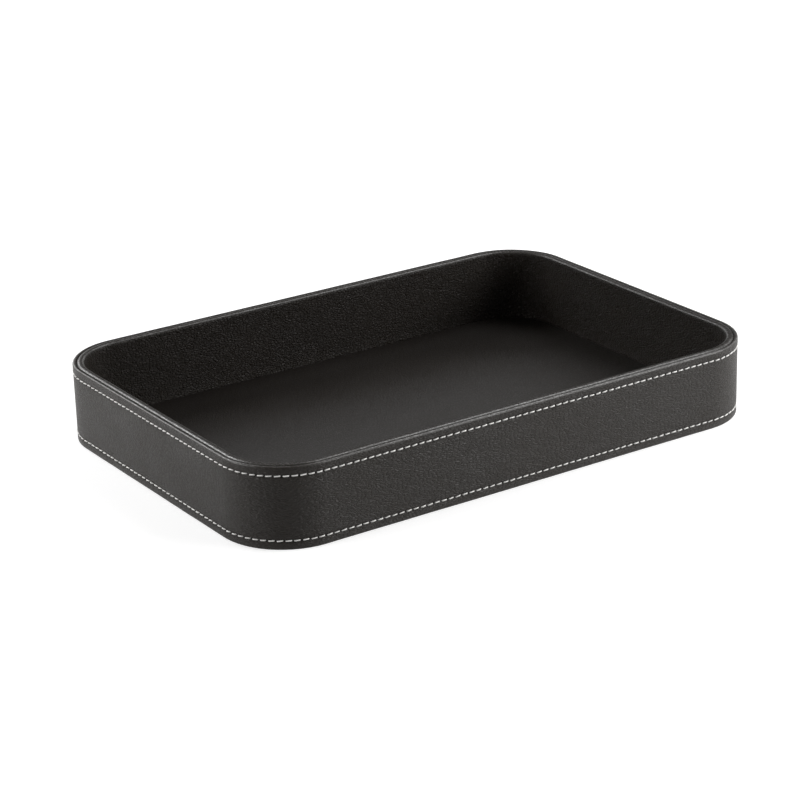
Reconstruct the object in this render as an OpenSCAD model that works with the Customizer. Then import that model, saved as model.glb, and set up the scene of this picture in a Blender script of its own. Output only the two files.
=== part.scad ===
// A shallow tray of board covered in leatherette, with a stitched belt round it.
// X runs along the tray, Y across it and Z up. The origin is the middle of the underside.

/* [Tray] */
// Length over the belt
tray_l = 300; // [220:5:450]
// Width over the belt
tray_w = 206; // [150:2:320]
// Height of the rim above the table
tray_h = 41.2; // [32:0.2:90]
// Radius of the upright corners, at the belt's face
corner_r = 34.5; // [24:0.5:60]

/* [Sheets and boards] */
// Thickness of the leatherette
leather_t = 0.6; // [0.5:0.05:0.9]
// Thickness of the board inside the belt
belt_board_t = 0.6; // [0.4:0.1:1.2]
// Thickness of the board in the wall
frame_t = 3.2; // [2.6:0.2:5]
// Rounding of the wall board's top edges
frame_edge_r = 1; // [0.4:0.1:1.2]
// Thickness of the board in the bottom
base_t = 1.2; // [1:0.2:4]
// Thickness of the sheet under the bottom
cover_t = 0.4; // [0.3:0.1:1.2]

/* [Belt] */
// How far the belt's top edge stays below the rim
belt_drop = 0.2; // [0:0.1:1]
// Height of the hems turned in at the belt's back
hem_h = 9; // [8:0.5:12]
// Gap where the ends of a strip meet
butt_gap = 0.3; // [0.2:0.1:0.8]

/* [Stitching] */
// Distance from one stitch to the next
stitch_pitch = 4; // [3:0.05:6]
// Gap from the end of one stitch to the next
stitch_gap = 0.9; // [0.5:0.05:1.2]
// Thickness of the needle thread
thread_d = 0.65; // [0.5:0.05:0.8]
// Drop of the top row below the belt's top edge
top_row_drop = 4.4; // [4:0.1:6.5]
// Rise of the bottom row above the belt's bottom edge
bottom_row_rise = 4.6; // [4:0.1:6.5]
// Thickness of the under thread, pressed flat behind the belt
bobbin_t = 0.25; // [0.2:0.05:0.3]
// Width of the flattened under thread
bobbin_w = 0.9; // [0.7:0.1:1.4]

/* [Lining] */
// Width of the lining's foot, turned onto the bottom board
foot_w = 8; // [5:0.5:14]
// Gap round the edge of the floor sheet
floor_gap = 0.2; // [0.1:0.1:0.6]
// Gap between the underside sheet and the belt
cover_gap = 0.3; // [0.2:0.1:1]
// Gap between the bottom board and the wall board
base_gap = 0.1; // [0.05:0.05:0.3]

/* [Hidden] */
$fn = 64;

// Layers of the wall, measured in from the belt's face
belt_t = 2 * leather_t + belt_board_t;
hem_x = leather_t + belt_board_t;
frame_x = belt_t + leather_t;
frame_in_x = frame_x + frame_t;
wall_t = frame_in_x + leather_t;

// Layers of the bottom, measured up from the table
base_z = cover_t;
foot_z = base_z + base_t;
floor_z = foot_z + leather_t;

// Heights of the belt and of the boards in the wall
belt_h = tray_h - belt_drop;
frame_top = tray_h - leather_t;
top_row_z = belt_h - top_row_drop;
bottom_row_z = bottom_row_rise;

// Seat of the needle thread: this share of the leatherette lies under the groove
under_groove_share = 0.4;
thread_gap = 0.05;
groove_depth = leather_t * (1 - under_groove_share);
thread_x = groove_depth - thread_d / 2;

// The outline in plan: straight runs and quarter rounds
run_l = tray_l - 2 * corner_r;
run_w = tray_w - 2 * corner_r;
arc_l = PI * corner_r / 2;
outline_l = 2 * run_l + 2 * run_w + 4 * arc_l;

// Way along the outline, from the middle of the back wall to the middle of the
// front wall, at which each next arc and run starts
arc_1 = run_l / 2;
run_2 = arc_1 + arc_l;
arc_2 = run_2 + run_w;
run_3 = arc_2 + arc_l;

// Stitches that go into the outline a whole number of times
stitch_count = round(outline_l / stitch_pitch);
stitch_step = outline_l / stitch_count;
stitch_l = stitch_step - stitch_gap;

overrun = 1;

// Plan shapes

// Rounded rectangle that follows the tray's outline, drawn in from the belt's face
module plan(inset) {
  r = corner_r - inset;
  square([run_l, tray_w - 2 * inset], center = true);
  square([tray_l - 2 * inset, run_w], center = true);
  for (x = [-run_l / 2, run_l / 2])
    for (y = [-run_w / 2, run_w / 2])
      translate([x, y]) circle(r);
}

// Flat sheet of that outline, from height z upwards
module sheet(inset, z, t) {
  translate([0, 0, z])
    linear_extrude(height = t)
      plan(inset);
}

// Carries a wall section round the whole outline. In the section x is the
// distance in from the belt's face and y is the height.
module round_wall() {
  for (side = [0 : 3]) {
    across = side % 2 == 0;
    rotate(side * 90)
      translate([0, -(across ? tray_w : tray_l) / 2, 0])
        rotate([90, 0, 90])
          linear_extrude(height = across ? run_l : run_w, center = true)
            children();
    rotate(side * 90)
      translate([(across ? run_l : run_w) / 2, -(across ? run_w : run_l) / 2, 0])
        rotate(-90)
          rotate_extrude(angle = 90)
            translate([corner_r, 0])
              mirror([1, 0])
                children();
  }
}

// Slot that parts a strip where its two ends meet: 1 at the back, -1 at the front
module butt_slot(end) {
  translate([0, end * (tray_w - wall_t) / 2, tray_h / 2])
    cube([butt_gap, wall_t + 2 * overrun, tray_h + 2 * overrun], center = true);
}

// Place on the outline, the way s along it: [x, y, turn about Z]. It runs
// against the clock, and its second half repeats the first, turned half round.
function on_run(from, turn, s) = [from[0] + s * cos(turn), from[1] + s * sin(turn), turn];
function on_arc(mid, turn, s) =
  let (swung = turn + s / arc_l * 90)
  [mid[0] + corner_r * sin(swung), mid[1] - corner_r * cos(swung), swung];
function on_outline(s) =
  s < arc_1 ? on_run([0, tray_w / 2], 180, s) :
  s < run_2 ? on_arc([-run_l / 2, run_w / 2], 180, s - arc_1) :
  s < arc_2 ? on_run([-tray_l / 2, run_w / 2], 270, s - run_2) :
  s < run_3 ? on_arc([-run_l / 2, -run_w / 2], 270, s - arc_2) :
  s < outline_l / 2 ? on_run([-run_l / 2, -tray_w / 2], 0, s - run_3) :
  let (far = on_outline(s - outline_l / 2))
  [-far[0], -far[1], far[2] + 180];

// One row of stitches: each child lies along X with the belt's face at y = 0
// and the inside of the tray towards +Y
module stitch_row(z) {
  for (i = [0 : stitch_count - 1]) {
    place = on_outline((i + 0.5) * stitch_step);
    translate([place[0], place[1], z])
      rotate(place[2])
        children();
  }
}

module needle_stitch() {
  translate([0, thread_x, 0])
    rotate([0, 90, 0])
      cylinder(h = stitch_l, d = thread_d, center = true);
}

module bobbin_stitch() {
  translate([0, belt_t - bobbin_t / 2, 0])
    cube([stitch_l, bobbin_t, bobbin_w], center = true);
}

// Wall sections

// Strip of the wall with half-round top and bottom edges
module belt_outline() {
  r = belt_t / 2;
  translate([0, r]) square([belt_t, belt_h - 2 * r]);
  for (z = [r, belt_h - r])
    translate([r, z]) circle(r);
}

module belt_leather_section() {
  difference() {
    belt_outline();
    translate([leather_t, leather_t])
      square([belt_board_t, belt_h - 2 * leather_t]);
    translate([hem_x, hem_h])
      square([leather_t + overrun, belt_h - 2 * hem_h]);
    for (z = [top_row_z, bottom_row_z]) {
      translate([thread_x, z])
        circle(d = thread_d + 2 * thread_gap);
      translate([belt_t - bobbin_t - thread_gap, z - bobbin_w / 2 - thread_gap])
        square([bobbin_t + thread_gap + overrun, bobbin_w + 2 * thread_gap]);
    }
  }
}

// Board with a rounded top, standing from height z
module rounded_board(x, z, t, top, r) {
  translate([x, z]) square([t, top - z - r]);
  translate([x + r, z]) square([t - 2 * r, top - z]);
  for (side = [x + r, x + t - r])
    translate([side, top - r]) circle(r);
}

module wall_lining_section() {
  difference() {
    union() {
      rounded_board(belt_t, cover_t, wall_t - belt_t, tray_h, frame_edge_r + leather_t);
      translate([frame_in_x, foot_z]) square([foot_w, leather_t]);
    }
    rounded_board(frame_x, -overrun, frame_t, frame_top, frame_edge_r);
    translate([frame_in_x - overrun, 0]) square([leather_t + 2 * overrun, foot_z]);
  }
}

// Pieces

module belt_leather() {
  color("#3d3c3a")
    difference() {
      round_wall() belt_leather_section();
      butt_slot(1);
    }
}

module belt_stiffener() {
  color("#8a7a62")
    difference() {
      round_wall()
        translate([leather_t, leather_t])
          square([belt_board_t, belt_h - 2 * leather_t]);
      butt_slot(1);
    }
}

module belt_infill() {
  color("#b5a88e")
    difference() {
      round_wall()
        translate([hem_x, hem_h])
          square([leather_t, belt_h - 2 * hem_h]);
      butt_slot(1);
    }
}

module top_row_needle_thread() {
  color("#ece9e2") stitch_row(top_row_z) needle_stitch();
}

module top_row_bobbin_thread() {
  color("#dcd8ce") stitch_row(top_row_z) bobbin_stitch();
}

module bottom_row_needle_thread() {
  color("#ece9e2") stitch_row(bottom_row_z) needle_stitch();
}

module bottom_row_bobbin_thread() {
  color("#dcd8ce") stitch_row(bottom_row_z) bobbin_stitch();
}

module frame_board() {
  color("#9c8a6c")
    difference() {
      round_wall()
        rounded_board(frame_x, base_z, frame_t, frame_top, frame_edge_r);
      butt_slot(-1);
    }
}

module wall_lining() {
  color("#2c2b2a") round_wall() wall_lining_section();
}

module base_board() {
  color("#a08e70") sheet(frame_in_x + base_gap, base_z, base_t);
}

module floor_card() {
  color("#b5a88e") sheet(frame_in_x + foot_w + floor_gap, foot_z, leather_t);
}

module floor_lining() {
  color("#353433") sheet(wall_t + floor_gap, floor_z, leather_t);
}

module underside_cover() {
  color("#262524") sheet(belt_t + cover_gap, 0, cover_t);
}

belt_leather();
belt_stiffener();
belt_infill();
top_row_needle_thread();
top_row_bobbin_thread();
bottom_row_needle_thread();
bottom_row_bobbin_thread();
frame_board();
wall_lining();
base_board();
floor_card();
floor_lining();
underside_cover();
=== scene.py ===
"""The looks of a stitched leatherette tray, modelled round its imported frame.

The strips of the wall are modelled flat, the way a maker cuts and sews them, and
are then wrapped round the tray's outline. In a flat strip X is the way along the
outline, Y is the distance in from the belt's face and Z is the height.
"""
from __future__ import annotations

import logging
import math
from contextlib import contextmanager
from dataclasses import dataclass, field
from enum import Enum
from typing import Callable, Iterable, Iterator

import bmesh
import bpy
import numpy as np
from mathutils import Matrix, Vector


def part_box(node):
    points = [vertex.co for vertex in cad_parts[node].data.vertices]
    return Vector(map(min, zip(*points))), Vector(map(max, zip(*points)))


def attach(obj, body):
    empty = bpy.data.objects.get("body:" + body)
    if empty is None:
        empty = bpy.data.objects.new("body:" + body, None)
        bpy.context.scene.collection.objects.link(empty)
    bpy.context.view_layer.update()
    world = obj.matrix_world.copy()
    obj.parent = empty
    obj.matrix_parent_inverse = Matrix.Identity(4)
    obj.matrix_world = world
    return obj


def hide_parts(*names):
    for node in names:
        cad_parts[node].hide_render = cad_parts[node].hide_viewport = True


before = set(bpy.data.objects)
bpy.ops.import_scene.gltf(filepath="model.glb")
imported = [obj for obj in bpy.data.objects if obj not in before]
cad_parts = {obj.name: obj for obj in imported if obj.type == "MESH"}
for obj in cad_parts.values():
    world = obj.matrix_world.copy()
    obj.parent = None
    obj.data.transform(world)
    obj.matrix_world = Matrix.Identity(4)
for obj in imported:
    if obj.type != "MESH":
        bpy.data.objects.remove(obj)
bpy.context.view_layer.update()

Piece = bpy.types.Object
Output = bpy.types.NodeSocket
Material = bpy.types.Material
Node = bpy.types.Node
Array = np.ndarray
Colour = tuple[float, float, float]

LOG = logging.getLogger("tray")
MM = 0.001
BODY = "root"

# Radius of the upright corners at the belt's face
CORNER_R = 34.5 * MM
# Distance from one stitch to the next, before it is rounded to a whole number
STITCH_PITCH = 4 * MM
# Hairline where the belt's ends are butted
BUTT_GAP = 0.06 * MM
# Points nearer than this are welded into one
WELD = 0.01 * MM
# A direction is along an axis when more than this share of it is
ALONG = 0.5
# A face is square to an axis when more than this share of its normal is along it
SQUARE = 0.99


class Part(Enum):
    """The kinds of mesh element that a selection can hold."""

    EDGE = "EDGE"
    FACE = "FACE"


class Axis(Enum):
    """The directions that cuts are made across."""

    X = (1.0, 0.0, 0.0)
    Z = (0.0, 0.0, 1.0)


def alone(piece: Piece) -> None:
    """Selects one object and makes it the active one."""
    bpy.ops.object.select_all(action="DESELECT")
    piece.select_set(True)
    bpy.context.view_layer.objects.active = piece


@contextmanager
def edit_mode(piece: Piece) -> Iterator[None]:
    """Opens a piece for editing with nothing selected, and closes it again.

    Args:
        piece: The mesh object to edit.
    """
    alone(piece)
    bpy.ops.object.mode_set(mode="EDIT")
    bpy.ops.mesh.select_all(action="DESELECT")
    yield
    bpy.ops.object.mode_set(mode="OBJECT")


def choose(piece: Piece, part: Part, test: Callable[[Vector, Vector], bool]) -> None:
    """Selects the elements of the open piece that pass a test, and no others.

    Args:
        piece: The mesh object in edit mode.
        part: The kind of element to select.
        test: Takes an element's middle, and a face's normal or an edge's direction.
    """
    bpy.ops.mesh.select_mode(type=part.value)
    bpy.ops.mesh.select_all(action="DESELECT")
    mesh = bmesh.from_edit_mesh(piece.data)
    mesh.normal_update()
    if part is Part.FACE:
        found = [f for f in mesh.faces if test(f.calc_center_median(), f.normal)]
    else:
        found = [e for e in mesh.edges
                 if test((e.verts[0].co + e.verts[1].co) / 2,
                         (e.verts[1].co - e.verts[0].co).normalized())]
    for element in found:
        element.select_set(True)
    bmesh.update_edit_mesh(piece.data)


def cut(axis: Axis, places: Iterable[float]) -> None:
    """Cuts the open piece across at each place along an axis."""
    for place in places:
        bpy.ops.mesh.select_all(action="SELECT")
        bpy.ops.mesh.bisect(plane_co=Vector(axis.value) * place, plane_no=axis.value)


def round_over(radius: float, steps: int, affect: str = "EDGES") -> None:
    """Rounds the open piece's chosen edges, or its chosen corners."""
    quarter_round = 0.5
    bpy.ops.mesh.bevel(offset=radius, segments=steps, profile=quarter_round, affect=affect,
                       clamp_overlap=False)


def finish_with(piece: Piece, kind: str, **settings: object) -> None:
    """Adds a modifier to a piece and applies it.

    Args:
        piece: The mesh object.
        kind: The modifier's type.
        settings: Values for the modifier's own fields.
    """
    alone(piece)
    bpy.ops.object.modifier_add(type=kind)
    modifier = piece.modifiers[-1]
    for name, value in settings.items():
        setattr(modifier, name, value)
    bpy.ops.object.modifier_apply(modifier=modifier.name)


def places_of(piece: Piece) -> Array:
    """Gives the places of a piece's vertices, one row each."""
    places = np.empty(len(piece.data.vertices) * 3)
    piece.data.vertices.foreach_get("co", places)
    return places.reshape(-1, 3)


def shape(piece: Piece, move: Callable[[Array], Array]) -> None:
    """Moves a piece's vertices.

    Args:
        piece: The mesh object.
        move: Takes the vertices' places, one row each, and gives the new ones.
    """
    moved = move(places_of(piece))
    piece.data.vertices.foreach_set("co", np.ascontiguousarray(moved).ravel())
    piece.data.update()


def mark(piece: Piece, name: str, share: Callable[[Array], Array]) -> None:
    """Writes a value from 0 to 1 on each vertex, for the finish to read.

    Args:
        piece: The mesh object.
        name: The attribute's name.
        share: Takes the vertices' places, one row each, and gives the values.
    """
    values = np.clip(share(places_of(piece)), 0.0, 1.0)
    attribute = piece.data.attributes.new(name=name, type="FLOAT", domain="POINT")
    attribute.data.foreach_set("value", values.astype(np.float32))


def crinkle(piece: Piece, size: float, height: float) -> None:
    """Gives a piece the slight unevenness of glued leatherette.

    Args:
        piece: The mesh object.
        size: How far apart the swells are.
        height: How high they are from dip to top.
    """
    swell = bpy.data.textures.new(f"{piece.name}_swell", "CLOUDS")
    swell.noise_scale = size
    swell.noise_depth = 1
    finish_with(piece, "DISPLACE", texture=swell, texture_coords="LOCAL",
                strength=height, mid_level=0.5)


def smooth(piece: Piece, angle: float = 40.0) -> None:
    """Shades a piece smooth, apart from edges sharper than the angle in degrees."""
    alone(piece)
    bpy.ops.object.shade_smooth_by_angle(angle=math.radians(angle))


def settle(name: str, size: Iterable[float] = (1, 1, 1)) -> Piece:
    """Names the new primitive, sizes it and puts its place and size in its mesh.

    Args:
        name: The object's name.
        size: How much larger it becomes along each axis.

    Returns:
        The object.
    """
    piece = bpy.context.object
    piece.name = piece.data.name = name
    piece.scale = size
    bpy.ops.object.transform_apply(location=True, rotation=True, scale=True)
    return piece


def new_block(name: str, low: tuple, high: tuple) -> Piece:
    """Adds a block between its lowest and its highest corner."""
    bpy.ops.object.select_all(action="DESELECT")
    bpy.ops.mesh.primitive_cube_add(size=1, location=(Vector(low) + Vector(high)) / 2)
    return settle(name, Vector(high) - Vector(low))


@dataclass(frozen=True)
class Outline:
    """The tray's outline in plan: four straight runs and four quarter rounds."""

    length: float
    width: float
    corner_r: float
    # Points this far before a run still count as on it
    lead_in: float = 1 * MM

    @property
    def run_l(self) -> float:
        """The straight stretch of a long wall."""
        return self.length - 2 * self.corner_r

    @property
    def run_w(self) -> float:
        """The straight stretch of a short wall."""
        return self.width - 2 * self.corner_r

    @property
    def around(self) -> float:
        """The way once round the outline."""
        return 2 * self.run_l + 2 * self.run_w + math.tau * self.corner_r

    def wrap(self, flat: Array) -> Array:
        """Bends a flat strip's points round the outline.

        The strip starts in the middle of the back wall and runs against the clock.

        Args:
            flat: Points of the strip, one row each.

        Returns:
            The same points in the tray's own frame.
        """
        arc = math.pi / 2 * self.corner_r
        runs = [self.run_l / 2, self.run_w, self.run_l, self.run_w, self.run_l / 2]
        x, y, heading, start = 0.0, self.width / 2, math.pi, 0.0
        bent = flat.copy()
        way, depth = flat[:, 0], flat[:, 1]
        for count, run in enumerate(runs):
            cos, sin = math.cos(heading), math.sin(heading)
            on_run = way >= start - self.lead_in
            along = way - start
            bent[on_run, 0] = (x + along * cos - depth * sin)[on_run]
            bent[on_run, 1] = (y + along * sin + depth * cos)[on_run]
            x, y, start = x + run * cos, y + run * sin, start + run
            if count == len(runs) - 1:
                break
            centre_x, centre_y = x - self.corner_r * sin, y + self.corner_r * cos
            on_arc = way > start
            turned = heading + (way - start) / self.corner_r
            radius = self.corner_r - depth
            bent[on_arc, 0] = (centre_x + radius * np.sin(turned))[on_arc]
            bent[on_arc, 1] = (centre_y - radius * np.cos(turned))[on_arc]
            heading += math.pi / 2
            x = centre_x + self.corner_r * math.sin(heading)
            y = centre_y - self.corner_r * math.cos(heading)
            start += arc
        return bent


@dataclass(frozen=True)
class Sizes:
    """The tray's sizes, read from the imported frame."""

    outline: Outline
    belt_h: float
    belt_t: float
    leather_t: float
    wall_t: float
    rim_z: float
    lining_z: float
    foot_w: float
    floor_gap: float
    floor_z: float
    thread_d: float
    thread_proud: float
    top_row_z: float
    bottom_row_z: float

    @classmethod
    def from_frame(cls) -> Sizes:
        """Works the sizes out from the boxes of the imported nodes.

        Returns:
            The sizes in metres.
        """
        belt_low, belt_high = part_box("belt_leather")
        lining_low, lining_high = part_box("wall_lining")
        base_low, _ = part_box("base_board")
        card_low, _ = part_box("floor_card")
        floor_low, floor_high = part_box("floor_lining")
        top_low, top_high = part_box("top_row_needle_thread")
        bottom_low, bottom_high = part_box("bottom_row_needle_thread")
        leather_t = floor_high[2] - floor_low[2]
        wall_t = base_low[0] - belt_low[0] + leather_t
        return cls(
            outline=Outline(belt_high[0] - belt_low[0], belt_high[1] - belt_low[1], CORNER_R),
            belt_h=belt_high[2],
            belt_t=lining_low[0] - belt_low[0],
            leather_t=leather_t,
            wall_t=wall_t,
            rim_z=lining_high[2],
            lining_z=lining_low[2],
            foot_w=card_low[0] - belt_low[0] - wall_t,
            floor_gap=floor_low[0] - belt_low[0] - wall_t,
            floor_z=floor_low[2],
            thread_d=top_high[2] - top_low[2],
            thread_proud=belt_low[0] - top_low[0],
            top_row_z=(top_low[2] + top_high[2]) / 2,
            bottom_row_z=(bottom_low[2] + bottom_high[2]) / 2,
        )

    @property
    def stitch_count(self) -> int:
        """How many stitches go round the outline."""
        return round(self.outline.around / STITCH_PITCH)

    @property
    def stitch_step(self) -> float:
        """The way from one stitch to the next."""
        return self.outline.around / self.stitch_count


def repeat(link: Piece, sizes: Sizes, joined: bool = True) -> None:
    """Repeats a link of one stitch's length along the strip, welded or apart."""
    finish_with(link, "ARRAY", count=sizes.stitch_count, use_relative_offset=False,
                use_constant_offset=True,
                constant_offset_displace=(sizes.stitch_step, 0, 0),
                use_merge_vertices=joined, merge_threshold=WELD)


def thicken(layer: Piece, sizes: Sizes) -> None:
    """Gives a single layer the leatherette's thickness, on its inner side."""
    finish_with(layer, "SOLIDIFY", thickness=sizes.leather_t, offset=-1,
                use_even_offset=True, use_rim=True)


def bell(distance: Array, reach: float) -> Array:
    """A soft bump: 1 in the middle, near 0 past its reach."""
    return np.exp(-(distance / reach) ** 2)


def toned(colour: Colour, tone: float = 1.0) -> tuple[float, ...]:
    """Gives a colour made lighter or darker, with full opacity."""
    return (*(part * tone for part in colour), 1.0)


def direction(azimuth: float, elevation: float) -> Vector:
    """Gives the way out from the tray for angles in degrees: 0 is its front, 90 its right."""
    a, e = math.radians(azimuth), math.radians(elevation)
    return Vector((math.sin(a) * math.cos(e), -math.cos(a) * math.cos(e), math.sin(e)))


class Sheet:
    """A node tree with short ways to add and join its nodes."""

    def __init__(self, tree: bpy.types.NodeTree) -> None:
        """Starts from an empty tree."""
        tree.nodes.clear()
        self.tree = tree

    def add(self, kind: str, inputs: dict | None = None, **settings: object) -> Node:
        """Adds a node.

        Args:
            kind: The node's type, without the words ShaderNode before it.
            inputs: For each input socket, a value or the output to join to it.
            settings: Values for the node's own fields.

        Returns:
            The new node.
        """
        node = self.tree.nodes.new(f"ShaderNode{kind}")
        for name, value in settings.items():
            setattr(node, name, value)
        for socket, value in (inputs or {}).items():
            if isinstance(value, Output):
                self.tree.links.new(value, node.inputs[socket])
            else:
                node.inputs[socket].default_value = value
        return node

    def maths(self, operation: str, *values: object) -> Output:
        """Adds a Math node with a number or an output for each input."""
        return self.add("Math", dict(enumerate(values)), operation=operation).outputs[0]

    def spread(self, value: object, low: float, high: float,
               to_low: float = 0.0, to_high: float = 1.0) -> Output:
        """Maps the range low to high onto the range to_low to to_high, smoothly."""
        return self.add("MapRange", {"Value": value, "From Min": low, "From Max": high,
                                     "To Min": to_low, "To Max": to_high},
                        interpolation_type="SMOOTHSTEP").outputs["Result"]

    def noise(self, place: Output, scale: float, detail: float, roughness: float = 0.5,
              distortion: float = 0.0) -> Output:
        """Adds soft noise, from 0 to 1."""
        return self.add("TexNoise", {"Vector": place, "Scale": scale, "Detail": detail,
                                     "Roughness": roughness, "Distortion": distortion}
                        ).outputs["Fac"]

    def scaled(self, vector: object, times: object) -> Output:
        """Multiplies a vector or colour by a number."""
        return self.add("VectorMath", {0: vector, "Scale": times}, operation="SCALE").outputs[0]

    def blend(self, share: object, first: object, second: object) -> Output:
        """Mixes two colours, by the share that there is of the second."""
        return self.add("Mix", {"Factor": share, 6: first, 7: second},
                        data_type="RGBA").outputs[2]

    def relief(self, height: object, depth: float, strength: float = 1.0,
               **under: object) -> Output:
        """Turns heights into a bumpy normal, which may lie on another one."""
        return self.add("Bump", {"Height": height, "Strength": strength, "Distance": depth,
                                 **under}).outputs["Normal"]


class Socket(Enum):
    """The kinds of socket on this object's node groups."""

    VECTOR = "NodeSocketVector"
    NUMBER = "NodeSocketFloat"
    COLOUR = "NodeSocketColor"


def new_group(name: str, takes: dict[str, Socket], gives: dict[str, Socket]
              ) -> tuple[Sheet, Node, Node]:
    """Starts a shader node group with named sockets.

    Args:
        name: The group's name.
        takes: The input sockets.
        gives: The output sockets.

    Returns:
        The group's tree, its input node and its output node.
    """
    tree = bpy.data.node_groups.new(name, "ShaderNodeTree")
    for way, sockets in (("INPUT", takes), ("OUTPUT", gives)):
        for label, kind in sockets.items():
            tree.interface.new_socket(name=label, in_out=way, socket_type=kind.value)
    sheet = Sheet(tree)
    return sheet, tree.nodes.new("NodeGroupInput"), tree.nodes.new("NodeGroupOutput")


def make_grain() -> bpy.types.NodeTree:
    """Makes the pressed grain of leatherette: flat cells with creases between them.

    Returns:
        A group that takes a place and the cells' size, and gives the height and
        the creases, both from 0 to 1.
    """
    sheet, takes, gives = new_group(
        "pressed_grain",
        {"Place": Socket.VECTOR, "Cell Size": Socket.NUMBER, "Softness": Socket.NUMBER},
        {"Height": Socket.NUMBER, "Crease": Socket.NUMBER})
    wander_scale, wander_pull, disorder = 0.45, 1.3, 0.9
    fine_scale, fine_detail, fine_share = 1.5, 1.5, 0.5
    per_cell = sheet.maths("DIVIDE", 1.0, takes.outputs["Cell Size"])
    place = sheet.scaled(takes.outputs["Place"], per_cell)
    wander = sheet.add("TexNoise", {"Vector": place, "Scale": wander_scale, "Detail": 2.0,
                                    "Roughness": 0.5}).outputs["Color"]
    pulled = sheet.add("VectorMath", {0: wander, 1: [wander_pull] * 3, 2: place},
                       operation="MULTIPLY_ADD").outputs[0]
    cells = sheet.add("TexVoronoi", {"Vector": pulled, "Scale": 1.0, "Randomness": disorder},
                      feature="DISTANCE_TO_EDGE").outputs["Distance"]
    plateau = sheet.add("MapRange", {"Value": cells, "From Min": 0.0,
                                     "From Max": takes.outputs["Softness"]},
                        interpolation_type="SMOOTHSTEP").outputs["Result"]
    fine = sheet.noise(place, fine_scale, fine_detail)
    height = sheet.maths("MULTIPLY_ADD", fine, fine_share,
                         sheet.maths("MULTIPLY", plateau, 1 - fine_share))
    sheet.tree.links.new(height, gives.inputs["Height"])
    sheet.tree.links.new(sheet.maths("SUBTRACT", 1.0, plateau), gives.inputs["Crease"])
    return sheet.tree


def make_mottle() -> bpy.types.NodeTree:
    """Makes slow changes of tone over a surface.

    Returns:
        A group that takes a place, the patches' size and a colour, and gives the
        colour with its tone varied and the variation itself from 0 to 1.
    """
    sheet, takes, gives = new_group(
        "slow_mottle",
        {"Place": Socket.VECTOR, "Patch Size": Socket.NUMBER, "Amount": Socket.NUMBER,
         "Color": Socket.COLOUR},
        {"Color": Socket.COLOUR, "Mask": Socket.NUMBER})
    noise_low, noise_high = 0.3, 0.7
    per_patch = sheet.maths("DIVIDE", 1.0, takes.outputs["Patch Size"])
    place = sheet.scaled(takes.outputs["Place"], per_patch)
    mask = sheet.spread(sheet.noise(place, 1.0, 4.0, 0.55), noise_low, noise_high)
    tone = sheet.maths("MULTIPLY_ADD", sheet.maths("SUBTRACT", mask, 0.5),
                       takes.outputs["Amount"], 1.0)
    varied = sheet.scaled(takes.outputs["Color"], tone)
    sheet.tree.links.new(varied, gives.inputs["Color"])
    sheet.tree.links.new(mask, gives.inputs["Mask"])
    return sheet.tree


class Effects:
    """The node groups that the finishes share, each built once."""

    def __init__(self) -> None:
        """Builds the groups."""
        self.grain = make_grain()
        self.mottle = make_mottle()

    def mottled(self, sheet: Sheet, place: Output, colour: Colour, size: float,
                amount: float) -> Node:
        """Places the slow mottle of a colour in a material, and gives its node."""
        return sheet.add("Group", {"Place": place, "Patch Size": size, "Amount": amount,
                                   "Color": toned(colour)}, node_tree=self.mottle)


def new_material(name: str) -> tuple[Material, Sheet]:
    """Starts a material with an empty tree."""
    material = bpy.data.materials.new(name)
    material.use_nodes = True
    return material, Sheet(material.node_tree)


def close_material(sheet: Sheet, shader: Node) -> None:
    """Joins a shader to the material's output."""
    output = sheet.add("OutputMaterial")
    sheet.tree.links.new(shader.outputs[0], output.inputs["Surface"])


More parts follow.
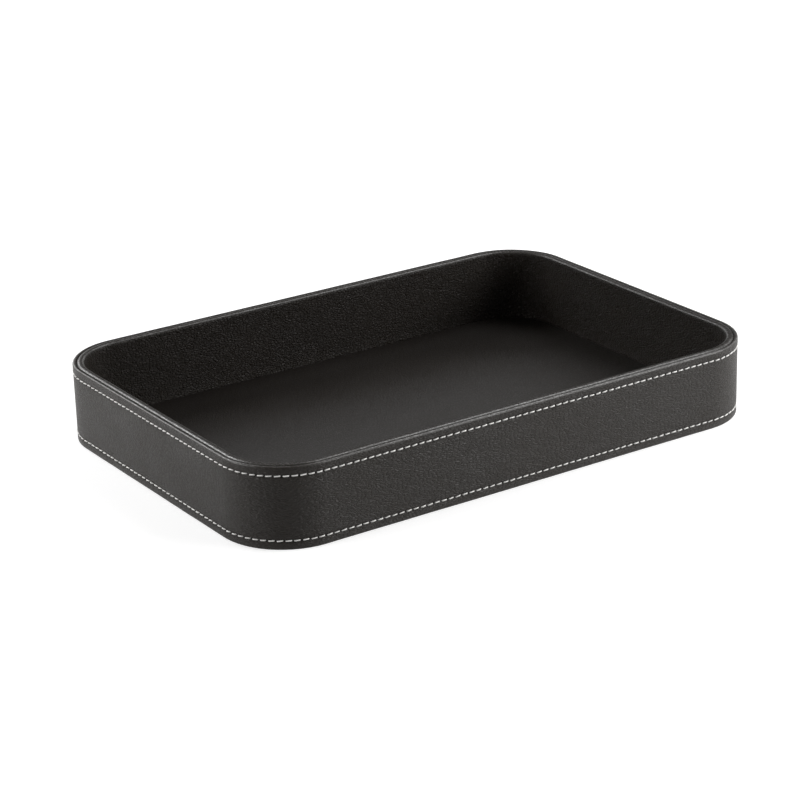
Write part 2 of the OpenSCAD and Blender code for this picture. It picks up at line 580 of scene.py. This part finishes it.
@dataclass(frozen=True)
class Leatherette:
    """Coated fabric with a pressed grain."""

    name: str
    colour: Colour
    roughness: float
    specular: float
    cell_size: float
    cell_stretch: float
    cell_softness: float
    grain_depth: float
    swell_size: float
    swell_depth: float
    mottle: float
    burnish: float = 0.0
    # Painted highlight: on the rubbed crowns the colour is lightened this many times, by this
    # share
    painted_highlight_tone: float = 2.2
    painted_highlight_share: float = 0.35
    # Painted shade: the grain's creases and the stitch rows darken towards this tone, by these
    # shares
    deep_tone: float = 0.45
    crease_shade_share: float = 0.35
    furrow_shade_share: float = 0.5
    crease_roughness: float = 0.12
    patch_roughness: float = 0.05
    rubbed_roughness: float = -0.1
    crease_polish: float = -0.45
    coat_roughness: float = 0.3
    coat_ior: float = 1.9

    def material(self, effects: Effects) -> Material:
        """Builds the finish.

        Args:
            effects: The shared node groups.

        Returns:
            The material.
        """
        material, sheet = new_material(self.name)
        place = sheet.add("TexCoord").outputs["Object"]
        drawn = sheet.add("VectorMath", {0: place, 1: (1.0, 1.0, self.cell_stretch)},
                          operation="MULTIPLY").outputs[0]
        grain = sheet.add("Group", {"Place": drawn, "Cell Size": self.cell_size,
                                    "Softness": self.cell_softness}, node_tree=effects.grain)
        crease = grain.outputs["Crease"]
        mottle = effects.mottled(sheet, place, self.colour, self.swell_size * 2, self.mottle)
        rub_and_painted_highlight = sheet.add("Attribute", attribute_name="rub_and_painted_highlight").outputs["Fac"]
        press = sheet.add("Attribute", attribute_name="press").outputs["Fac"]
        # Painted highlight: the base colour is lightened where the rub mask lies, on the folds'
        # crowns and the rim's shoulders
        with_painted_highlight = sheet.blend(sheet.maths("MULTIPLY", rub_and_painted_highlight, self.painted_highlight_share),
                             mottle.outputs["Color"], toned(self.colour, self.painted_highlight_tone))
        # Painted shade: the base colour darkens towards the deep tone in the grain's creases and
        # along the stitch rows
        shade = sheet.maths("MULTIPLY_ADD", crease, self.crease_shade_share,
                            sheet.maths("MULTIPLY", press, self.furrow_shade_share))
        rough = sheet.maths("MULTIPLY_ADD", crease, self.crease_roughness, self.roughness)
        rough = sheet.maths("MULTIPLY_ADD", mottle.outputs["Mask"], self.patch_roughness, rough)
        polish = sheet.maths("MULTIPLY_ADD", crease, self.crease_polish * self.burnish,
                             self.burnish)
        slow = sheet.relief(sheet.noise(place, 1 / self.swell_size, 2.0), self.swell_depth)
        shader = sheet.add("BsdfPrincipled", {
            "Base Color": sheet.blend(shade, with_painted_highlight, toned(self.colour, self.deep_tone)),
            "Roughness": sheet.maths("MULTIPLY_ADD", rub_and_painted_highlight, self.rubbed_roughness, rough),
            "Normal": sheet.relief(grain.outputs["Height"], self.grain_depth, Normal=slow),
            "Specular IOR Level": self.specular, "IOR": 1.5,
            "Coat Weight": sheet.maths("MULTIPLY", rub_and_painted_highlight, polish),
            "Coat Roughness": self.coat_roughness, "Coat IOR": self.coat_ior})
        close_material(sheet, shader)
        return material


@dataclass(frozen=True)
class Thread:
    """Twisted sewing thread. Its strands follow the stitch's own UV map."""

    name: str
    colour: Colour
    roughness: float
    turns: float
    strands: float
    # Painted shade in the grooves between the strands: its darker tone and its share
    deep_tone: float = 0.5
    ply_shade_share: float = 0.25
    ply_depth: float = 0.06 * MM
    ply_strength: float = 0.5
    fuzz_scale: float = 6000.0
    fuzz_share: float = 0.25
    patch_size: float = 4 * MM
    mottle: float = 0.12
    sheen: float = 0.3

    def material(self, effects: Effects) -> Material:
        """Builds the finish.

        Args:
            effects: The shared node groups.

        Returns:
            The material.
        """
        material, sheet = new_material(self.name)
        coords = sheet.add("TexCoord")
        place = coords.outputs["Object"]
        uv = sheet.add("SeparateXYZ", {0: coords.outputs["UV"]})
        round_it = sheet.maths("MULTIPLY", uv.outputs["X"], self.strands)
        along = sheet.maths("MULTIPLY_ADD", uv.outputs["Y"], self.turns, round_it)
        ply = sheet.maths("SINE", sheet.maths("MULTIPLY", along, math.tau))
        ply = sheet.maths("MULTIPLY_ADD", ply, 0.5, 0.5)
        fuzz = sheet.noise(place, self.fuzz_scale, 2.0)
        mottle = effects.mottled(sheet, place, self.colour, self.patch_size, self.mottle)
        # Painted shade: the base colour darkens in the grooves between the twisted strands
        colour = sheet.blend(sheet.spread(ply, 0.45, 0.0, 0.0, self.ply_shade_share),
                             mottle.outputs["Color"], toned(self.colour, self.deep_tone))
        height = sheet.maths("MULTIPLY_ADD", fuzz, self.fuzz_share, ply)
        shader = sheet.add("BsdfPrincipled", {
            "Base Color": colour, "Roughness": self.roughness, "Sheen Weight": self.sheen,
            "Normal": sheet.relief(height, self.ply_depth, self.ply_strength)})
        close_material(sheet, shader)
        return material


@dataclass(frozen=True)
class Fibre:
    """Pressed board, card or felt: short fibres in a matt mass."""

    name: str
    colour: Colour
    roughness: float
    fibre_size: float
    fibre_depth: float
    stretch: float
    mottle: float
    turn: float = 0.3
    patch_share: float = 12.0
    deep_tone: float = 0.72
    specular: float = 0.3

    def material(self, effects: Effects) -> Material:
        """Builds the finish.

        Args:
            effects: The shared node groups.

        Returns:
            The material.
        """
        material, sheet = new_material(self.name)
        place = sheet.add("TexCoord").outputs["Object"]
        drawn = sheet.add("Mapping", {"Vector": place, "Scale": (1.0, self.stretch, 1.0),
                                      "Rotation": (0.0, 0.0, self.turn)}).outputs["Vector"]
        fibres = sheet.noise(drawn, 1 / self.fibre_size, 5.0, 0.65, 0.6)
        mottle = effects.mottled(sheet, place, self.colour,
                                 self.fibre_size * self.patch_share, self.mottle)
        shader = sheet.add("BsdfPrincipled", {
            "Base Color": sheet.blend(sheet.spread(fibres, 0.35, 0.7),
                                      toned(self.colour, self.deep_tone),
                                      mottle.outputs["Color"]),
            "Roughness": self.roughness, "Specular IOR Level": self.specular,
            "Normal": sheet.relief(fibres, self.fibre_depth)})
        close_material(sheet, shader)
        return material


BELT_FINISH = Leatherette(
    name="belt_skin", colour=(0.0085, 0.0047, 0.0013), roughness=0.46, specular=0.5,
    cell_size=2.5 * MM, cell_stretch=3.8, cell_softness=0.3, grain_depth=0.42 * MM,
    swell_size=14 * MM, swell_depth=0.12 * MM, mottle=0.16, burnish=1.0)
LINING_FINISH = Leatherette(
    name="lining_skin", colour=(0.0075, 0.0044, 0.0016), roughness=0.5, specular=0.28,
    cell_size=1.9 * MM, cell_stretch=1.7, cell_softness=0.24, grain_depth=0.85 * MM,
    swell_size=16 * MM, swell_depth=0.12 * MM, mottle=0.2, burnish=1.0)
FLOOR_FINISH = Leatherette(
    name="floor_skin", colour=(0.0052, 0.0027, 0.0008), roughness=0.42, specular=0.44,
    cell_size=1.2 * MM, cell_stretch=1.0, cell_softness=0.35, grain_depth=0.08 * MM,
    swell_size=30 * MM, swell_depth=0.1 * MM, mottle=0.1)
THREAD_FINISH = Thread(
    name="white_thread", colour=(0.9, 0.885, 0.86), roughness=0.6, turns=3.0, strands=2.0)
BOARD_FINISH = Fibre(
    name="pressed_board", colour=(0.34, 0.28, 0.2), roughness=0.85,
    fibre_size=1.2 * MM, fibre_depth=0.06 * MM, stretch=2.5, mottle=0.25)
CARD_FINISH = Fibre(
    name="grey_card", colour=(0.46, 0.4, 0.31), roughness=0.9,
    fibre_size=0.8 * MM, fibre_depth=0.03 * MM, stretch=3.0, mottle=0.15)
FELT_FINISH = Fibre(
    name="underside_felt", colour=(0.025, 0.025, 0.025), roughness=0.95,
    fibre_size=0.7 * MM, fibre_depth=0.16 * MM, stretch=1.6, mottle=0.2)


def dress(piece: Piece, material: Material) -> None:
    """Gives a piece its one material."""
    piece.data.materials.clear()
    piece.data.materials.append(material)


def hand_over(piece: Piece, nodes: Iterable[str]) -> None:
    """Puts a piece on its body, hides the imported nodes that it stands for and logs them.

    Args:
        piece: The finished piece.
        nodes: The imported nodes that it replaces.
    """
    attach(piece, BODY)
    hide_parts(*nodes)
    LOG.info("%s: %d faces, stands for %s", piece.name, len(piece.data.polygons),
             ", ".join(nodes))


@dataclass
class Belt:
    """The outer belt: a strip of leatherette folded round a thin board and sewn."""

    sizes: Sizes
    name: str = "sewn_belt"
    fold_share: float = 0.45
    fold_steps: int = 7
    roll_h: float = 1.0 * MM
    # Where the rubbed crown lies and how wide it is, in fold radii; it gets gloss and a painted
    # highlight
    highlight_rub_at: float = 0.66
    highlight_rub_w: float = 0.42
    hem_h: float = 9 * MM
    furrow_depth: float = 0.3 * MM
    furrow_w: float = 0.55 * MM
    hole_depth: float = 0.3 * MM
    hole_l: float = 0.45 * MM
    back_press: float = 0.28 * MM
    swell: float = 0.09 * MM
    swell_size: float = 22 * MM
    swell_height: float = 0.16 * MM
    hole_reach: float = 0.6 * MM
    # Painted shade between the holes, as a share of that at a hole
    furrow_shade_between: float = 0.25
    # Cuts beside each row, in furrow widths
    row_cuts: tuple[float, ...] = (-2.0, -1.0, -0.45, 0.0, 0.45, 1.0, 2.0)

    @property
    def fold(self) -> float:
        """The radius of the belt's folded edges."""
        return self.sizes.belt_t * self.fold_share

    def build(self) -> Piece:
        """Models the belt.

        Returns:
            The finished mesh, without its material.
        """
        belt = self._fold_link()
        # The fold crowns get gloss and a painted highlight
        mark(belt, "rub_and_painted_highlight", self._rubbed_with_painted_highlight)
        # Painted shade along the stitch rows, deepest at the needle holes
        mark(belt, "press", self._furrow_shade_mask)
        shape(belt, self._pull_in)
        repeat(belt, self.sizes)
        shape(belt, self._part_ends)
        shape(belt, self.sizes.outline.wrap)
        crinkle(belt, self.swell_size, self.swell_height)
        thicken(belt, self.sizes)
        shape(belt, self._stand_on_table)
        smooth(belt)
        return belt

    def _rows(self) -> tuple[float, float]:
        """The heights of the two stitch rows."""
        return self.sizes.bottom_row_z, self.sizes.top_row_z

    def _fold_link(self) -> Piece:
        """Models the folded strip for the length of one stitch, open at both ends.

        Returns:
            The link as a single layer, whose outside is the belt's surface.
        """
        s = self.sizes
        link = new_block(self.name, (0, 0, 0), (s.stitch_step, s.belt_t, s.belt_h))
        with edit_mode(link):
            choose(link, Part.FACE, lambda at, normal: abs(normal.x) > ALONG)
            bpy.ops.mesh.delete(type="ONLY_FACE")
            choose(link, Part.EDGE, lambda at, along: abs(along.x) > ALONG)
            round_over(self.fold, self.fold_steps)
            for row in self._rows():
                cut(Axis.Z, [row + step * self.furrow_w for step in self.row_cuts])
            cut(Axis.Z, [self.hem_h, s.belt_h / 2, s.belt_h - self.hem_h])
            cut(Axis.X, [self.hole_reach, s.stitch_step - self.hole_reach])
            choose(link, Part.FACE, lambda at, normal: normal.y > SQUARE
                   and self.hem_h < at.z < s.belt_h - self.hem_h)
            bpy.ops.mesh.delete(type="FACE")
        return link

    def _near_hole(self, flat: Array) -> Array:
        """How near each point lies to a needle hole along the row, from 0 to 1."""
        step = self.sizes.stitch_step
        beside = np.minimum(flat[:, 0] % step, step - flat[:, 0] % step)
        return bell(beside, self.hole_l)

    def _near_row(self, flat: Array) -> Array:
        """How near each point lies to a stitch row, from 0 to 1."""
        return sum(bell(flat[:, 2] - row, self.furrow_w) for row in self._rows())

    def _rubbed_with_painted_highlight(self, flat: Array) -> Array:
        """Where the belt is rubbed glossy and a highlight is painted: the crown of the fold at
        its top and its bottom.
        """
        from_edge = np.minimum(flat[:, 2], self.sizes.belt_h - flat[:, 2])
        crown = bell(flat[:, 1] - self.fold * self.highlight_rub_at, self.fold * self.highlight_rub_w)
        return crown * (from_edge < self.fold)

    def _furrow_shade_mask(self, flat: Array) -> Array:
        """Where shade is painted: along the rows, where the leatherette is drawn down, most at
        the holes.
        """
        at_hole = (1 - self.furrow_shade_between) * self._near_hole(flat)
        return self._near_row(flat) * (self.furrow_shade_between + at_hole)

    def _pull_in(self, flat: Array) -> Array:
        """Draws the rows in, rolls the top fold and swells the leatherette beside the rows.

        Args:
            flat: The link's points.

        Returns:
            The moved points.
        """
        s = self.sizes
        face = np.clip(1 - flat[:, 1] / self.fold, 0, 1)
        back = flat[:, 1] > s.belt_t * (1 - self.fold_share / 4)
        row, hole = self._near_row(flat), self._near_hole(flat)
        bottom, top = self._rows()
        sides = (bell(flat[:, 2] - bottom / 2, bottom / 3)
                 + bell(flat[:, 2] - (s.belt_h + top) / 2, (s.belt_h - top) / 3))
        moved = flat.copy()
        below_edge = s.belt_h - flat[:, 2]
        rolled = (below_edge < self.fold + WELD) & (flat[:, 1] < s.belt_t / 2)
        moved[rolled, 2] = (s.belt_h - below_edge * self.roll_h / self.fold)[rolled]
        moved[:, 1] += face * row * (self.furrow_depth + self.hole_depth * hole)
        moved[:, 1] -= face * sides * self.swell
        moved[:, 1] -= back * row * self.back_press
        return moved

    def _part_ends(self, flat: Array) -> Array:
        """Leaves the gap between the strip's two ends."""
        moved = flat.copy()
        moved[:, 0] = np.clip(moved[:, 0], BUTT_GAP / 2, self.sizes.outline.around - BUTT_GAP / 2)
        return moved

    def _stand_on_table(self, placed: Array) -> Array:
        """Keeps the lower fold from reaching below the underside."""
        return np.maximum(placed, (-np.inf, -np.inf, 0))


@dataclass
class StitchRow:
    """A row of needle-thread stitches, each dived into its holes at both ends."""

    sizes: Sizes
    name: str
    height: float
    seed: int
    gap: float = 0.9 * MM
    dive_l: float = 0.45 * MM
    past_hole: float = 0.1 * MM
    dive_depth: float = 0.85 * MM
    taper: float = 0.3
    spread: float = 1.04
    flattened: float = 0.9
    slant: float = 4.5
    sides: int = 8
    jitter: float = 0.06 * MM
    tip: float = 1.6
    crease: float = 80.0

    def build(self) -> Piece:
        """Models the row.

        Returns:
            The finished mesh, without its material.
        """
        row = self._stitch()
        repeat(row, self.sizes, joined=False)
        shape(row, self._loosen)
        shape(row, self.sizes.outline.wrap)
        smooth(row, self.crease)
        return row

    def _stitch(self) -> Piece:
        """Models the first stitch of the row, in the flat strip's frame.

        Returns:
            A bent rod with closed ends.
        """
        s = self.sizes
        seen = s.stitch_step - self.gap
        reach = seen / 2 + self.past_hole
        bpy.ops.object.select_all(action="DESELECT")
        bpy.ops.mesh.primitive_cylinder_add(
            vertices=self.sides, radius=s.thread_d / 2, depth=2 * reach,
            rotation=(0, math.pi / 2, 0))
        stitch = settle(self.name)
        with edit_mode(stitch):
            inner = seen / 2 - self.dive_l
            middle = (inner + seen / 2) / 2
            cut(Axis.X, [-seen / 2, -middle, -inner, 0, inner, middle, seen / 2])
        middle_y = s.thread_d / 2 - s.thread_proud

        def bend(rod: Array) -> Array:
            """Flattens the rod, turns its ends in and lays it in its furrow."""
            past = np.clip((np.abs(rod[:, 0]) - inner) / (reach - inner), 0, 1)
            girth = 1 - self.taper * past
            moved = rod.copy()
            moved[:, 1] = (rod[:, 1] * girth * self.flattened + middle_y
                           + self.dive_depth * past ** 2)
            moved[:, 2] = (rod[:, 2] * girth * self.spread + self.height
                           + rod[:, 0] * math.tan(math.radians(self.slant)))
            moved[:, 0] = rod[:, 0] + s.stitch_step / 2
            return moved

        shape(stitch, bend)
        return stitch

    def _loosen(self, flat: Array) -> Array:
        """Shifts and tips each stitch a little, as sewing does.

        Args:
            flat: The row's points.

        Returns:
            The moved points.
        """
        step = self.sizes.stitch_step
        draw = np.random.default_rng(self.seed)
        shifts = draw.normal(0, self.jitter, (self.sizes.stitch_count, 2))
        tips = draw.normal(0, math.radians(self.tip), self.sizes.stitch_count)
        which = np.clip((flat[:, 0] // step).astype(int), 0, self.sizes.stitch_count - 1)
        moved = flat.copy()
        moved[:, 0] += shifts[which, 0]
        moved[:, 2] += shifts[which, 1] / 2
        moved[:, 2] += tips[which] * (flat[:, 0] - (which + 0.5) * step)
        return moved


@dataclass
class WallLining:
    """The grained leatherette over the rim and down the inside of the wall."""

    sizes: Sizes
    name: str = "wrapped_lining"
    shoulder_r: float = 1.9 * MM
    shoulder_steps: int = 10
    # The rubbed bands on the rim's shoulders, in shoulder radii; they get gloss and a painted
    # highlight
    highlight_rub_at: float = 0.6
    highlight_rub_w: float = 0.28
    inner_highlight_rub_at: float = 0.5
    inner_highlight_rub_w: float = 0.2
    inner_highlight_rub: float = 0.75
    foot_r: float = 0.4 * MM
    foot_steps: int = 3
    wall_steps: int = 6
    swell_size: float = 26 * MM
    swell_height: float = 0.2 * MM

    def build(self) -> Piece:
        """Models the lining.

        Returns:
            The finished mesh, without its material.
        """
        lining = self._fold_link()
        # The shoulders get gloss and a painted highlight
        mark(lining, "rub_and_painted_highlight", self._rubbed_with_painted_highlight)
        repeat(lining, self.sizes)
        shape(lining, self.sizes.outline.wrap)
        with edit_mode(lining):
            bpy.ops.mesh.select_all(action="SELECT")
            bpy.ops.mesh.remove_doubles(threshold=WELD)
        crinkle(lining, self.swell_size, self.swell_height)
        thicken(lining, self.sizes)
        smooth(lining)
        return lining

    def _fold_link(self) -> Piece:
        """Models the folded sheet for the length of one stitch, open at both ends.

        Returns:
            The link as a single layer, whose outside is the lining's surface.
        """
        s = self.sizes
        link = new_block(self.name, (0, s.belt_t, s.lining_z), (s.stitch_step, s.wall_t, s.rim_z))
        low = s.lining_z + self.foot_r
        with edit_mode(link):
            choose(link, Part.FACE, lambda at, normal: abs(normal.x) > ALONG or normal.z < -ALONG)
            bpy.ops.mesh.delete(type="ONLY_FACE")
            choose(link, Part.EDGE, lambda at, along: abs(along.x) > ALONG and at.z > low)
            round_over(self.shoulder_r, self.shoulder_steps)
            choose(link, Part.EDGE, lambda at, along: abs(along.x) > ALONG and at.z < low
                   and at.y > s.wall_t - self.foot_r)
            bpy.ops.transform.translate(value=(0, 0, s.floor_z - s.lining_z))
            bpy.ops.mesh.extrude_edges_move(
                TRANSFORM_OT_translate={"value": (0, s.foot_w - s.floor_gap, 0)})
            choose(link, Part.EDGE, lambda at, along: abs(along.x) > ALONG
                   and abs(at.z - s.floor_z) < self.foot_r / 2
                   and abs(at.y - s.wall_t) < self.foot_r / 2)
            round_over(self.foot_r, self.foot_steps)
            rise = (s.rim_z - s.floor_z) / self.wall_steps
            cut(Axis.Z, [s.floor_z + rise * i for i in range(1, self.wall_steps)])
            cut(Axis.X, [s.stitch_step / 2])
        return link

    def _rubbed_with_painted_highlight(self, flat: Array) -> Array:
        """Where the lining is drawn tight, rubbed glossy and a highlight is painted: the rim's
        two shoulders.
        """
        s, r = self.sizes, self.shoulder_r
        outer = bell(flat[:, 1] - s.belt_t - r * self.highlight_rub_at, r * self.highlight_rub_w)
        inner = bell(s.wall_t - flat[:, 1] - r * self.inner_highlight_rub_at, r * self.inner_highlight_rub_w)
        return (outer + self.inner_highlight_rub * inner) * (s.rim_z - flat[:, 2] < r)


@dataclass
class FloorLining:
    """The smooth sheet on the floor, drawn down a little along its edge."""

    sizes: Sizes
    name: str = "smooth_floor"
    corner_steps: int = 16
    edge_r: float = 0.25 * MM
    edge_steps: int = 3
    border: tuple[float, ...] = (0.8 * MM, 2.5 * MM, 5 * MM)
    droop: float = 0.14 * MM
    middle_r: float = 10 * MM

    @property
    def inset(self) -> float:
        """How far the sheet's edge lies inside the outline."""
        return self.sizes.wall_t + self.sizes.floor_gap

    def build(self) -> Piece:
        """Models the sheet.

        Returns:
            The finished mesh, without its material.
        """
        s = self.sizes
        bpy.ops.object.select_all(action="DESELECT")
        bpy.ops.mesh.primitive_plane_add(size=1, location=(0, 0, s.floor_z))
        sheet = settle(self.name, (s.outline.length - 2 * self.inset,
                                   s.outline.width - 2 * self.inset, 1))
        with edit_mode(sheet):
            bpy.ops.mesh.select_all(action="SELECT")
            round_over(s.outline.corner_r - self.inset, self.corner_steps, "VERTICES")
            bpy.ops.mesh.select_all(action="SELECT")
            bpy.ops.mesh.extrude_region_move(
                TRANSFORM_OT_translate={"value": (0, 0, s.leather_t)})
            bpy.ops.mesh.select_all(action="SELECT")
            bpy.ops.mesh.normals_make_consistent(inside=False)
            choose(sheet, Part.FACE, lambda at, normal: normal.z > SQUARE)
            bpy.ops.mesh.region_to_loop()
            round_over(self.edge_r, self.edge_steps)
            for step in np.diff((0.0, *self.border)):
                choose(sheet, Part.FACE, lambda at, normal: normal.z > SQUARE
                       and at.xy.length < self.middle_r)
                bpy.ops.mesh.inset(thickness=float(step), depth=0)
        shape(sheet, self._draw_down)
        smooth(sheet)
        return sheet

    def _draw_down(self, placed: Array) -> Array:
        """Lowers the sheet's upper side towards its edge."""
        s = self.sizes
        run_x, run_y = s.outline.run_l / 2, s.outline.run_w / 2
        past_x = np.maximum(np.abs(placed[:, 0]) - run_x, 0)
        past_y = np.maximum(np.abs(placed[:, 1]) - run_y, 0)
        from_edge = s.outline.corner_r - self.inset - np.hypot(past_x, past_y)
        moved = placed.copy()
        upper = placed[:, 2] > s.floor_z + s.leather_t / 2
        moved[upper, 2] -= (self.droop * bell(from_edge, self.border[1]))[upper]
        return moved


@dataclass(frozen=True)
class Viewpoint:
    """Where the photograph was taken from, about the middle of the underside."""

    azimuth: float = -33.7
    elevation: float = 21.168
    roll: float = -1.524
    distance: float = 1.30463
    lens: float = 114.501
    aside: float = 0.00441
    above: float = -0.01086
    sensor: float = 36.0
    clip_near: float = 0.05
    clip_far: float = 50.0

    def place_camera(self) -> None:
        """Makes the scene's camera."""
        a, r = math.radians(self.azimuth), math.radians(self.roll)
        back = direction(self.azimuth, self.elevation)
        level = Vector((math.cos(a), math.sin(a), 0))
        upright = back.cross(level)
        right = level * math.cos(r) + upright * math.sin(r)
        up = upright * math.cos(r) - level * math.sin(r)
        bpy.ops.object.camera_add()
        camera = bpy.context.object
        camera.name = "photo_camera"
        camera.location = back * self.distance - right * self.aside - up * self.above
        camera.rotation_mode = "QUATERNION"
        turn = np.array([right, up, back]).T
        camera.rotation_quaternion = Matrix(turn.tolist()).to_quaternion()
        camera.data.lens = self.lens
        camera.data.sensor_width = self.sensor
        camera.data.clip_start, camera.data.clip_end = self.clip_near, self.clip_far
        bpy.context.scene.camera = camera


@dataclass(frozen=True)
class Lamp:
    """A soft box: a lit rectangle that faces the tray."""

    name: str
    azimuth: float
    elevation: float
    width: float
    height: float
    brightness: float
    distance: float = 1.2

    def place(self) -> None:
        """Adds the lamp, aimed at the tray."""
        out = direction(self.azimuth, self.elevation)
        bpy.ops.object.light_add(type="AREA", location=out * self.distance)
        lamp = bpy.context.object
        lamp.name = self.name
        lamp.rotation_mode = "QUATERNION"
        lamp.rotation_quaternion = out.to_track_quat("Z", "Y")
        lamp.data.shape = "RECTANGLE"
        lamp.data.size, lamp.data.size_y = self.width, self.height
        lamp.data.energy = self.brightness * math.pi * self.width * self.height


@dataclass(frozen=True)
class Studio:
    """The white table, the room round it and the soft light."""

    lamps: tuple[Lamp, ...] = (
        Lamp("back_right_softbox", 140, 22, 0.42, 0.5, 1.1),
        Lamp("back_strip", 160, 22, 0.42, 0.5, 0.8),
        Lamp("back_softbox", 180, 22, 0.42, 0.5, 2.5),
        Lamp("top_back_left_softbox", -160, 43, 0.5, 0.4, 7.0),
        Lamp("top_right_softbox", 70, 52, 0.5, 0.5, 2.4),
        Lamp("top_side_softbox", 105, 57, 0.5, 0.5, 3.6),
        Lamp("front_right_softbox", 45, 25, 0.8, 0.5, 8.0),
        Lamp("front_right_strip", 45, 13, 0.8, 0.4, 3.0),
        Lamp("right_softbox", 90, 22, 0.8, 0.5, 1.5),
        Lamp("left_softbox", -105, 22, 0.8, 0.5, 6.4),
    )
    surroundings: float = 0.04
    table_colour: float = 0.6
    lift_near: float = 0.64
    lift_far: float = 0.95
    lift_from: float = 0.25
    lift_to: float = 0.9
    mirrored_low: float = 0.05
    mirrored_high: float = 1.0
    mirrored_from: float = -0.2
    mirrored_to: float = 0.05
    mirrored_far: float = 0.45
    brighter_towards: tuple[float, float, float] = (0.318, 0.949, 0.0)
    table_size: float = 12.0
    table_gap: float = 0.05 * MM

    def build(self) -> None:
        """Makes the table, the surroundings and the lamps."""
        bpy.ops.mesh.primitive_plane_add(size=self.table_size, location=(0, 0, -self.table_gap))
        table = bpy.context.object
        table.name = "white_table"
        dress(table, self._table_finish())
        self._surround()
        for lamp in self.lamps:
            lamp.place()
        bpy.context.scene.view_settings.view_transform = "Standard"

    def _table_finish(self) -> Material:
        """Builds the table's finish: matt white, with a glow that lifts it to white for the
        camera.

        Reflections see the glow too, painted brighter towards the back than by the camera, as on
        a table with its lights behind.

        Returns:
            The material.
        """
        material, sheet = new_material("white_sweep")
        tone = self.table_colour
        matt = sheet.add("BsdfDiffuse", {"Color": (tone, tone, tone, 1)})
        place = sheet.add("TexCoord").outputs["Object"]
        away = sheet.add("VectorMath", {0: place}, operation="LENGTH").outputs["Value"]
        behind = sheet.add("VectorMath", {0: place, 1: self.brighter_towards},
                           operation="DOT_PRODUCT").outputs["Value"]
        seen = sheet.spread(away, self.lift_from, self.lift_to, self.lift_near, self.lift_far)
        ramp = sheet.add("MapRange", {
            "Value": behind, "From Min": self.mirrored_from, "From Max": self.mirrored_to,
            "To Min": self.mirrored_low, "To Max": self.mirrored_high}).outputs["Result"]
        far = sheet.spread(away, self.lift_from, self.lift_to, 0.0, self.mirrored_far)
        path = sheet.add("LightPath").outputs
        bent = sheet.maths("MAXIMUM", path["Is Glossy Ray"], path["Is Transmission Ray"])
        mirrored = sheet.maths("MULTIPLY", bent, sheet.maths("ADD", ramp, far))
        strength = sheet.maths("MULTIPLY_ADD", path["Is Camera Ray"], seen, mirrored)
        lift = sheet.add("Emission", {"Strength": strength})
        both = sheet.add("AddShader", {0: matt.outputs[0], 1: lift.outputs[0]})
        close_material(sheet, both)
        return material

    def _surround(self) -> None:
        """Makes the dim grey room round the table."""
        world = bpy.data.worlds.new("grey_room")
        world.use_nodes = True
        bpy.context.scene.world = world
        sheet = Sheet(world.node_tree)
        room = sheet.add("Background", {"Color": (1, 1, 1, 1), "Strength": self.surroundings})
        output = sheet.add("OutputWorld")
        sheet.tree.links.new(room.outputs[0], output.inputs["Surface"])


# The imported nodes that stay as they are, with the finish of each
KEPT_NODES: dict[str, Fibre | Thread] = {
    "belt_stiffener": BOARD_FINISH,
    "belt_infill": CARD_FINISH,
    "top_row_bobbin_thread": THREAD_FINISH,
    "bottom_row_bobbin_thread": THREAD_FINISH,
    "frame_board": BOARD_FINISH,
    "base_board": BOARD_FINISH,
    "floor_card": CARD_FINISH,
    "underside_cover": FELT_FINISH,
}


@dataclass
class Tray:
    """The whole tray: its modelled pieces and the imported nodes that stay."""

    sizes: Sizes
    effects: Effects
    finishes: dict[str, Material] = field(default_factory=dict)

    def finish(self, kind: Leatherette | Thread | Fibre) -> Material:
        """Gives a finish's material, and builds it the first time.

        Args:
            kind: The finish.

        Returns:
            Its material.
        """
        if kind.name not in self.finishes:
            self.finishes[kind.name] = kind.material(self.effects)
        return self.finishes[kind.name]

    def build(self) -> None:
        """Models and dresses all the pieces."""
        s = self.sizes
        for model, finish, node, slot in (
                (Belt(s), BELT_FINISH, "belt_leather", "outer_leatherette"),
                (StitchRow(s, "top_stitches", s.top_row_z, 11), THREAD_FINISH,
                 "top_row_needle_thread", "thread"),
                (StitchRow(s, "bottom_stitches", s.bottom_row_z, 23), THREAD_FINISH,
                 "bottom_row_needle_thread", "thread"),
                (WallLining(s), LINING_FINISH, "wall_lining", "lining_leatherette"),
                (FloorLining(s), FLOOR_FINISH, "floor_lining", "floor_leatherette")):
            piece = model.build()
            dress(piece, self.finish(finish))
            hand_over(piece, [node])
        for name, kind in KEPT_NODES.items():
            dress(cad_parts[name], self.finish(kind))
            LOG.info("%s: stays, finished as %s", name, kind.name)


def main() -> None:
    """Builds the tray, the studio and the camera."""
    logging.basicConfig(level=logging.INFO, format="%(name)s: %(message)s")
    Tray(Sizes.from_frame(), Effects()).build()
    Studio().build()
    Viewpoint().place_camera()


if __name__ == "__main__":
    main()
